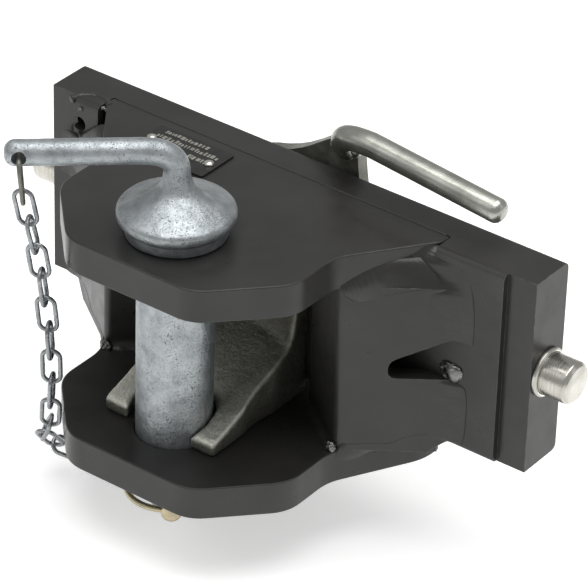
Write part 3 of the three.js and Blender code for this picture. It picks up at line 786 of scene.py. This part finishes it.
# Where each link's middle line starts and the last one's ends, from the handle loop down.
LINK_ENDS = [
    (-75.4, -161.3, 144.9), (-74.2, -157.6, 126.3), (-73.5, -152.9, 108.0),
    (-73.6, -148.9, 89.5), (-73.6, -145.6, 70.8), (-73.7, -142.8, 52.0), (-74.4, -140.1, 33.3),
    (-76.2, -137.5, 14.6), (-79.4, -134.4, -3.8), (-83.9, -129.9, -21.7), (-94.0, -123.6, -36.5),
    (-95.0, -111.5, -51.2), (-83.4, -99.6, -60.1), (-65.2, -95.6, -63.4), (-48.2, -98.6, -55.9),
]
LINK_WIRE, LINK_BEND, LINK_STRAIGHT = 1.27, 4.95, 6.65  # radii, and half of a straight side
LINK_SWELL = 0.1  # the butt weld's height, in the middle of one side
FIRST_LINK_WIDTH = Vector((0.45, -0.9, 0))


def link_stations(middle, along, width):
    """Round one link: each end's half turn, then the straight side that follows it."""
    stations = []
    for sign in (1, -1):
        for k in range(13):
            a = math.pi * (k / 12 - 0.5)
            x = sign * (LINK_STRAIGHT + LINK_BEND * math.cos(a))
            y = sign * LINK_BEND * math.sin(a)
            stations.append((middle + along * x + width * y, LINK_WIRE))
        for k in range(1, 6):
            x = sign * LINK_STRAIGHT * (1 - 2 * k / 6)
            swell = LINK_SWELL * math.exp(-((k - 3) ** 2)) if sign > 0 else 0
            stations.append((middle + along * x + width * sign * LINK_BEND, LINK_WIRE + swell))
    return stations


def chain():
    width = FIRST_LINK_WIDTH
    for i, (start, end) in enumerate(zip(LINK_ENDS, LINK_ENDS[1:]), 1):
        along = (Vector(end) - Vector(start)).normalized()
        width = width.cross(along).normalized()
        middle = (Vector(start) + Vector(end)) / 2
        link = tube(f"link_{i:02d}", link_stations(middle, along, width), 14, closed=True)
        link.data.shade_smooth()
        join_frame(link, "chain", "zinc_plated", f"chain_link_{i:02d}", material="zinc_chain")


LOOP_TOP = (-76.64, -162.45, 168.5)
LOOP_TILT = math.radians(-4)
LOOP_WIRE = 1.35
LOOP_SIDE = [(7.2, -0.6), (9.2, -6), (6.6, -14), (4.4, -22), (2.6, -27)]  # one side, top down
LOOP_FOOT = (0, -29.6)


def handle_loop():
    other_side = [(-x, z) for x, z in reversed(LOOP_SIDE)]
    corners = [(0, 0), *LOOP_SIDE, LOOP_FOOT, *other_side]
    place = place_at(LOOP_TOP, (HANDLE_HEADING - math.pi / 2, "Z"), (LOOP_TILT, "X"))
    stations = [(place @ Vector((p.x, 0, p.y)), LOOP_WIRE) for p in closed_spline(corners, 8)]
    obj = tube("eye_loop", stations, 16, closed=True)
    obj.data.shade_smooth()
    join_frame(obj, "chain", "dark_steel", "handle_loop")


# ---- Bolts and collars ----
BOLT_PROFILE = [  # radius, distance out from the part's middle, rounding
    (0, 50), (10.4, 50, 0.8), (12.2, 51.8, 0.8), (12.2, 181.9, 0.7), (10.2, 184, 0.7), (0, 184),
]
COLLAR_PROFILE = [
    (12.5, 155.4, 0.3), (12.5, 166.8, 0.6), (13.1, 166.8, 0.6), (14.3, 165.9, 0.7),
    (14.3, 164.3, 0.1), (13.5, 164.2, 0.1), (13.5, 155.4, 0.3), (12.5, 155.4),
]


def bolts():
    for side, sign in SIDES:
        spot = place_at((0, BOLT_Y, BOLT_Z), (sign * math.pi / 2, "Y"))
        bolt = lathe(side + "_bolt_look", BOLT_PROFILE, spot)
        smooth(bolt)
        join_frame(bolt, side + "_bolt", "bright_steel", side + "_locking_bolt")
        collar = lathe(side + "_collar_look", COLLAR_PROFILE, spot)
        smooth(collar)
        join_frame(collar, "frame", "bright_steel", side + "_bolt_collar")


# ---- Lever: a bent bar, cut flat at its root where it stands on the cam plate ----
LEVER_RADIUS, LEVER_TIP_FLAT = 7.0, 2.0
LEVER_ROOT_Y = 3.7
LEVER_ROOT, LEVER_RISE = (17, LEVER_ROOT_Y, 131.5), (17, -1.2, 137.5)
LEVER_KNEE, LEVER_BAR = (18.5, -7.5, 147.5), (40, -8, 147.8)  # the bend's corner and its end
LEVER_END = (124.4, -12, 141.7)
LEVER_CUT = ((-10, 40), (LEVER_ROOT_Y, 30), (110, 160))  # a block behind the root's flat face


def box(name, xs, ys, zs):
    faces = [(0, 1, 3, 2), (4, 6, 7, 5), (0, 4, 5, 1), (2, 3, 7, 6), (0, 2, 6, 4), (1, 5, 7, 3)]
    made = add_mesh(name, [(x, y, z) for x in xs for y in ys for z in zs], faces)
    outward(made)
    return made


def lever():
    root, rise, knee, bar_start, end = (
        Vector(p) for p in (LEVER_ROOT, LEVER_RISE, LEVER_KNEE, LEVER_BAR, LEVER_END)
    )
    path = [root, root.lerp(rise, 0.5), rise]
    path += bezier(rise, knee, bar_start, 22)
    path += [bar_start.lerp(end, k / 12) for k in range(1, 13)]
    stations = [(p, LEVER_RADIUS) for p in path]
    stations += blob_tip(end, (end - bar_start).normalized(), LEVER_RADIUS, LEVER_TIP_FLAT)
    bar = stepped_tube("lever_bar_look", stations, 56)
    cut(bar, box("block", *LEVER_CUT))
    smooth(bar, 50)
    join_frame(bar, "lever", "satin_steel", "lever_bar")


def small_parts():
    rounded_cad("lever_cam_plate", "lever", "dark_steel", 0.8)
    rounded_cad("lever_pivot_bolt", "frame", "bright_steel", 0.6)
    rounded_cad("lever_pivot_spacer", "frame", "bright_steel", 0.3)
    rounded_cad("lever_pivot_washer", "frame", "bright_steel", 0.3)
    for side, sign in SIDES:
        rounded_cad(side + "_drive_pin", side + "_bolt", "bright_steel", 0.3)
        rounded_cad(side + "_guide_screw", "frame", "dark_steel", 0.3)
        rounded_cad(side + "_label_rivet", "frame", "bright_steel", 0.15)
        spring = cad_copy(side + "_bolt_spring", dissolve=None)
        smooth(spring, 80)
        join_frame(spring, "frame", "dark_steel", side + "_bolt_spring")
        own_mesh(spring)


# ---- Data plate ----
LABEL_SEED = 7
LABEL_CORNER, LABEL_EDGE = 2, 0.15  # roundings in plan and along the edge
LABEL_ROWS = (  # foot, height, start and stop, each a share of the plate's side
    (0.80, 0.10, 0.14, 0.70), (0.60, 0.11, 0.10, 0.92), (0.40, 0.08, 0.10, 0.34),
    (0.36, 0.12, 0.62, 0.90), (0.14, 0.08, 0.20, 0.74),
)
MARK_DEPTH, MARK_RISE = 0.3, 0.1  # a mark's whole depth, and how far it stands over the plate
MARK_SLOPE = 0.1  # how far its sides lean in


def label_fields():
    """Rows of short plain bars of uneven size, as (u, v, u, v) shares of the plate."""
    chance = random.Random(LABEL_SEED)
    fields = []
    for foot, height, start, stop in LABEL_ROWS:
        while start < stop:
            length = chance.uniform(0.015, 0.05)
            lift = chance.uniform(0, 0.02)
            tall = height * chance.uniform(0.75, 1.1)
            fields.append((start, foot + lift, start + length, foot + lift + tall))
            start += length + chance.uniform(0.008, 0.022)
    return fields


def data_plate():
    """A thin label with rows of short plain marks and nothing written on it."""
    low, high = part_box("data_plate")
    x0, y0, x1, y1 = (v / MM for v in (low.x, low.y, high.x, high.y))
    top = high.z / MM
    corners = [(x, y, LABEL_CORNER) for x, y in ((x0, y0), (x1, y0), (x1, y1), (x0, y1))]
    outline = rounded(corners, 5)
    plate = slab("data_plate_look", outline, [], low.z / MM, top - MARK_RISE, LABEL_EDGE)
    smooth(plate)
    points, faces = [], []
    for a, b, c, d in label_fields():
        first = len(points)
        for z, inset in ((top - MARK_DEPTH, 0.0), (top, MARK_SLOPE)):
            points += [
                (x0 + (x1 - x0) * u + s * inset, y0 + (y1 - y0) * v + t * inset, z)
                for u, v, s, t in ((a, b, 1, 1), (c, b, -1, 1), (c, d, -1, -1), (a, d, 1, -1))
            ]
        around = [(k, (k + 1) % 4, (k + 1) % 4 + 4, k + 4) for k in range(4)]
        for quad in [(3, 2, 1, 0), (4, 5, 6, 7), *around]:
            faces.append(tuple(first + k for k in quad))
    marks = add_mesh("data_plate_fields", points, faces)
    join_frame(plate, "frame", "label_black", "data_plate")
    join_frame(marks, "frame", "label_black", material="label_light")


# ---- Welds: lofted between toe lines, hollow or crowned, with faint ripples ----
WELD_STATIONS, WELD_ACROSS = 90, 14  # points along a weld, and steps from toe to toe
WELD_TAPER = 0.07  # share of a weld's length over which an end grows to full size
RIPPLE_STEP, RIPPLE_PITCH = 0.7, 3.4  # nominal distance between points, and between ripples
RIPPLE_BOW = 1.4  # how far the middle of a ripple trails its ends
WELD_LUMP, WELD_LUMP_SIZE = 0.45, 6  # height and width of the lumps on its face
WELD_ROOT = 2  # how far the weld reaches behind its corner


def weld(name, rows, hollow, ripple=0.1, tips=(0.3, 0.3), seed=0.0):
    """A weld over rows (toe on one piece, toe on the other, corner behind them).

    Hollow is 1 for a fillet tangent to both pieces, 0 for a flat one and negative for a crown.
    Tips are the sizes of its two ends, as shares of the full size.
    """
    lines = [resampled([Vector(row[k]) for row in rows], WELD_STATIONS) for k in range(3)]
    points, faces = [], []
    for i, (a, b, corner) in enumerate(zip(*lines)):
        run = i / (WELD_STATIONS - 1)
        size = min(
            tips[0] + (1 - tips[0]) * min(1, run / WELD_TAPER) ** 0.5,
            tips[1] + (1 - tips[1]) * min(1, (1 - run) / WELD_TAPER) ** 0.5,
        )
        a, b = corner.lerp(a, size), corner.lerp(b, size)
        middle = (a + b) / 2
        out = (middle - corner).normalized()
        control = middle + (corner - middle) * hollow
        for k in range(WELD_ACROSS + 1):
            t = k / WELD_ACROSS
            where = quadratic(a, control, b, t)
            fade = math.sin(math.pi * t)
            turns = (i * RIPPLE_STEP - RIPPLE_BOW * fade) / RIPPLE_PITCH
            wave = math.sin(2 * math.pi * turns) * ripple
            lump = noise.noise(where / WELD_LUMP_SIZE + Vector((seed, 0, 0))) * WELD_LUMP
            points.append(where + out * (wave + lump) * fade)
        points.append(corner - out * WELD_ROOT)
    ring = WELD_ACROSS + 2
    for i in range(WELD_STATIONS - 1):
        faces += band(i * ring, (i + 1) * ring, ring)
    faces.append(tuple(range(ring))[::-1])
    faces.append(tuple(range((WELD_STATIONS - 1) * ring, WELD_STATIONS * ring)))
    obj = add_mesh(name, points, faces)
    outward(obj)
    obj.data.shade_smooth()
    obj.data.set_sharp_from_angle(angle=math.radians(70))
    join_frame(obj, "frame", "black_paint", material="weld_paint")


def bead(name, line, radius, sides, amount, size, seed):
    """A round run of painted weld metal along a line."""
    obj = tube(name, [(p, radius) for p in line], sides)
    shaken(obj, amount, size, seed)
    obj.data.shade_smooth()
    join_frame(obj, "frame", "black_paint", material="weld_paint")


def drop(name, centre, radii, seed, body="frame", slot="black_paint", material="weld_metal"):
    """A rounded drop of weld metal."""
    mesh = bpy.data.meshes.new(name)
    made = bmesh.new()
    bmesh.ops.create_icosphere(made, subdivisions=4, radius=1)
    made.to_mesh(mesh)
    made.free()
    mesh.transform(Matrix.Diagonal((*(Vector(radii) * MM), 1)))
    mesh.transform(Matrix.Translation(Vector(centre) * MM))
    obj = add_object(name, mesh)
    shaken(obj, 0.45 * min(radii), 0.8 * max(radii), seed)
    shaken(obj, 0.14 * min(radii), 2.0, seed)
    mesh.shade_smooth()
    join_frame(obj, body, slot, material=material)


def wall_point(side, s, z, out=0.0):
    """A point on a side wall's outer leg, s along it from the nose and out from the face."""
    x = WALL_NOSE[0] + s * math.cos(WALL_OUTER) + out * math.sin(WALL_OUTER)
    y = WALL_NOSE[1] + s * math.sin(WALL_OUTER) - out * math.cos(WALL_OUTER)
    return (JAW_X + side * x, y, z)


def inner_point(side, s, z, out=0.0):
    """A point on a side wall's inner leg, s along it from the nose and out from the face."""
    x = WALL_NOSE[0] + s * math.cos(WALL_INNER) - out * math.sin(WALL_INNER)
    y = WALL_NOSE[1] + s * math.sin(WALL_INNER) + out * math.cos(WALL_INNER)
    return (JAW_X + side * x, y, z)


def flare_point(side, flare, y, z, out=0.0):
    """A point on a jaw plate's flared edge at that Y."""
    wide, deep = flare[0] - JAW_NECK[0], flare[1] - JAW_NECK[1]
    heading = math.atan2(deep, wide)
    x = JAW_NECK[0] + (y - JAW_NECK[1]) * (wide / deep)
    return (JAW_X + side * (x + out * math.sin(heading)), y - out * math.cos(heading), z)


def front_point(side, x, z, y=PLATE_FRONT):
    """A point near the slide plate's front face, x out from the middle of the jaw."""
    return (JAW_X + side * x, y, z)


def top_rows(side):
    """Between the side wall and the upper jaw plate's flared edge."""
    stations = (  # the upper toe's Y and Z, the lower toe's place along the wall and its Z
        (-74, 101.8, 2, 95), (-69, 104, 9, 90.2), (-61, 108.5, 18, 92),
        (-49.5, 112.5, 29, 95.6), (-42, 113.5, 42, 98.6), (-34.5, 114, 60, 100),
    )
    return [
        (
            flare_point(side, UPPER_FLARE, y, upper_z, 0.1),
            wall_point(side, s, lower_z, 0.1),
            wall_point(side, s - 2, 99, -4),
        )
        for y, upper_z, s, lower_z in stations
    ]


def foot_rows(side):
    """Between the side wall and the lower jaw plate's flared edge."""
    stations = (  # the upper toe's place along the wall and its Z, the lower toe's Y and Z
        (1, -1.5, -75, -10), (10, -1.8, -68, -13), (20, -1.2, -60, -13.6),
        (30, -0.6, -52, -12.4), (40, 3.9, -43, -9.5), (55, 7.2, -35.5, -6.5),
    )
    return [
        (
            wall_point(side, s, upper_z, 0.1),
            flare_point(side, LOWER_FLARE, y, lower_z, 0.2),
            wall_point(side, s, -7, -5),
        )
        for s, upper_z, y, lower_z in stations
    ]


def wall_corner(side, s, x, z, plate_z):
    """One row of the weld up the corner of the side wall and the slide plate."""
    return (
        wall_point(side, s, z, -0.04),
        front_point(side, x, plate_z, PLATE_FRONT - 0.25),
        front_point(side, WALL_END, z),
    )


def corner_rows(side):
    """Up the side wall's corner above its notch, and on the right over the upper jaw plate."""
    over_plate = [
        (
            flare_point(side, UPPER_FLARE, -28.5, 119.6),
            front_point(side, 118, 119.5, -30),
            front_point(side, 114.5, 116, -27),
        ),
        (
            flare_point(side, UPPER_FLARE, -35, 118.8),
            front_point(side, 124, 118.6, -33),
            front_point(side, 113, 112, -31),
        ),
        (
            flare_point(side, UPPER_FLARE, -41, 115),
            front_point(side, 131, 114.5),
            front_point(side, 113, 107, -33),
        ),
        (
            wall_point(side, 50, 105.5, -4),
            front_point(side, 137.5, 107.5),
            front_point(side, 120, 101, -33),
        ),
    ]
    stations = (  # s along the wall, X, Z, and how much higher the toe on the plate is
        (49, 140.6, 96.5, 2), (50, 142.2, 86, 0), (50, 142.4, 77, 0), (50, 142.2, 68.6, 0.6),
    )
    on_wall = [wall_corner(side, s, x, z, z + lift) for s, x, z, lift in stations]
    return over_plate + on_wall if side > 0 else on_wall


def low_corner_rows(side):
    """Down the side wall's corner below its notch."""
    stations = ((53, 138, 42), (52, 140.2, 34), (52, 140.5, 20), (52, 140, 9), (54, 138, 2))
    return [wall_corner(side, s, x, z, z) for s, x, z in stations]


def inner_foot_rows(side):
    """Between the side wall's inner leg and the lower jaw plate."""
    return [
        (
            inner_point(side, s, -0.5, 0.1),
            inner_point(side, s, -6.05, 4.5),
            inner_point(side, s, -6.2, 0),
        )
        for s in (0.5, 10, 22, 34, 45)
    ]


REAR_BEAD = ((-147.5, -34.2), (-145.7, -28.8), (-139.6, -23.8), (-132, -24), (-125.7, -26.7))
REAR_BEAD_Z = 118.3
REAR_DROPS = ((-141, -34.2, 114.5), (-128.5, -29.5, 117.6), (-125, -30, 117.6))
REAR_DROP_RADII = (1.5, 1.2, 1.2)
SEAM_Y, SEAM_Z, SEAM_HALF = -19.85, 119.78, 113  # behind the upper jaw plate
NOTCH_DROP, NOTCH_DROP_RADII = (129.5, 47.5, -34.4), (7.5, 2.4, 6)  # X, Z and Y, then radii
NOSE_DROP, NOSE_DROP_RADII = (78.5, -4, -71.4), (3.6, 2.6, 2.6)
LEVER_WELD, LEVER_WELD_RADII = (17, 1.2, 132.6), (9.2, 4.2, 5.2)


def welds():
    for name, side in SIDES:
        weld(name + "_top_weld", top_rows(side), -0.95, seed=side)
        weld(name + "_foot_weld", foot_rows(side), -0.1, seed=4 + side)
        weld(
            name + "_corner_weld", corner_rows(side), 0.72, ripple=0.04, tips=(0.6, 1.0),
            seed=8 + side,
        )
        weld(
            name + "_low_corner_weld", low_corner_rows(side), 0.75, ripple=0.04, seed=12 + side
        )
        weld(
            name + "_inner_foot_weld", inner_foot_rows(side), 0.7, ripple=0.03, seed=16 + side
        )
        drop(name + "_notch_drop", front_point(side, *NOTCH_DROP), NOTCH_DROP_RADII, 1.0 + side)
        drop(name + "_nose_drop", front_point(side, *NOSE_DROP), NOSE_DROP_RADII, 3.0 + side)
    rear = resampled([Vector((x, y, REAR_BEAD_Z)) for x, y in REAR_BEAD], WELD_STATIONS)
    bead("left_rear_bead", rear, radius=2.4, sides=24, amount=0.3, size=5, seed=21.0)
    for k, spot in enumerate(REAR_DROPS):
        drop(f"left_drop_{k}", spot, REAR_DROP_RADII, 5.0 + k)
    seam = [Vector((JAW_X + SEAM_HALF * (k / 40 - 1), SEAM_Y, SEAM_Z)) for k in range(81)]
    bead("upper_seam_bead", seam, radius=0.75, sides=16, amount=0.1, size=3, seed=23.0)
    drop(
        "lever_root_weld", LEVER_WELD, LEVER_WELD_RADII, 31.0,
        body="lever", slot="satin_steel", material=None,
    )


# ---- Camera, lights and floor ----
CAMERA_TARGET = Vector((0.02932, -0.060, 0.07422))
CAMERA_DISTANCE = 2.16231
CAMERA_AZIMUTH, CAMERA_ELEVATION, CAMERA_ROLL = (math.radians(a) for a in (36.03, 32.93, 1.79))
CAMERA_LENS = 245.7
LIGHTS = (  # name, position, size, power
    ("overhead", (0.1, -0.1, 1.5), (1.6, 1.2), 19),
    ("key", (-0.9, -1.1, 1.1), (0.7, 0.7), 1.6),
    ("rim", (1.4, 0.5, 0.7), (0.6, 0.8), 0.8),
)
LIGHT_TARGET = Vector((0, -0.05, 0.04))
WORLD_STRENGTH = 0.42
FLOOR_Z, FLOOR_HALF = -0.0705, 4


def camera():
    back = Vector((
        math.sin(CAMERA_AZIMUTH) * math.cos(CAMERA_ELEVATION),
        -math.cos(CAMERA_AZIMUTH) * math.cos(CAMERA_ELEVATION),
        math.sin(CAMERA_ELEVATION),
    ))
    right = Vector((math.cos(CAMERA_AZIMUTH), math.sin(CAMERA_AZIMUTH), 0))
    up = back.cross(right)
    c, s = math.cos(CAMERA_ROLL), math.sin(CAMERA_ROLL)
    turned = Matrix((right * c + up * s, up * c - right * s, back)).transposed()
    lens = bpy.data.cameras.new("camera")
    lens.lens = CAMERA_LENS
    lens.clip_end = 20
    made = add_object("camera", lens)
    made.matrix_world = Matrix.Translation(CAMERA_TARGET + back * CAMERA_DISTANCE) @ turned.to_4x4()
    bpy.context.scene.camera = made


def area_light(name, position, size, power):
    lamp = bpy.data.lights.new(name, "AREA")
    lamp.shape = "RECTANGLE"
    lamp.size, lamp.size_y = size
    lamp.energy = power
    made = add_object(name, lamp)
    made.location = position
    aim = LIGHT_TARGET - Vector(position)
    made.rotation_euler = aim.to_track_quat("-Z", "Y").to_euler()


def studio():
    bpy.context.scene.view_settings.view_transform = "Standard"
    world = bpy.data.worlds.new("studio")
    world.use_nodes = True
    world.node_tree.nodes["Background"].inputs["Color"].default_value = (1, 1, 1, 1)
    world.node_tree.nodes["Background"].inputs["Strength"].default_value = WORLD_STRENGTH
    bpy.context.scene.world = world
    for light in LIGHTS:
        area_light(*light)
    square = ((-1, -1), (1, -1), (1, 1), (-1, 1))
    corners = [(x * FLOOR_HALF, y * FLOOR_HALF, FLOOR_Z) for x, y in square]
    ground = add_mesh("floor", corners, [(0, 1, 2, 3)], scale=1)
    ground.data.materials.append(floor_paper())


camera()
studio()
jaw_plates()
rounded_cad("slide_plate", "frame", "black_paint", 1.3, segments=3, sharp=35)
rounded_cad("left_side_wall", "frame", "black_paint", 0.8, dissolve=3.0)
rounded_cad("right_side_wall", "frame", "black_paint", 0.8, dissolve=3.0)
guide_casting()
coupling_pin()
linch_parts()
chain()
handle_loop()
bolts()
lever()
small_parts()
data_plate()
welds()
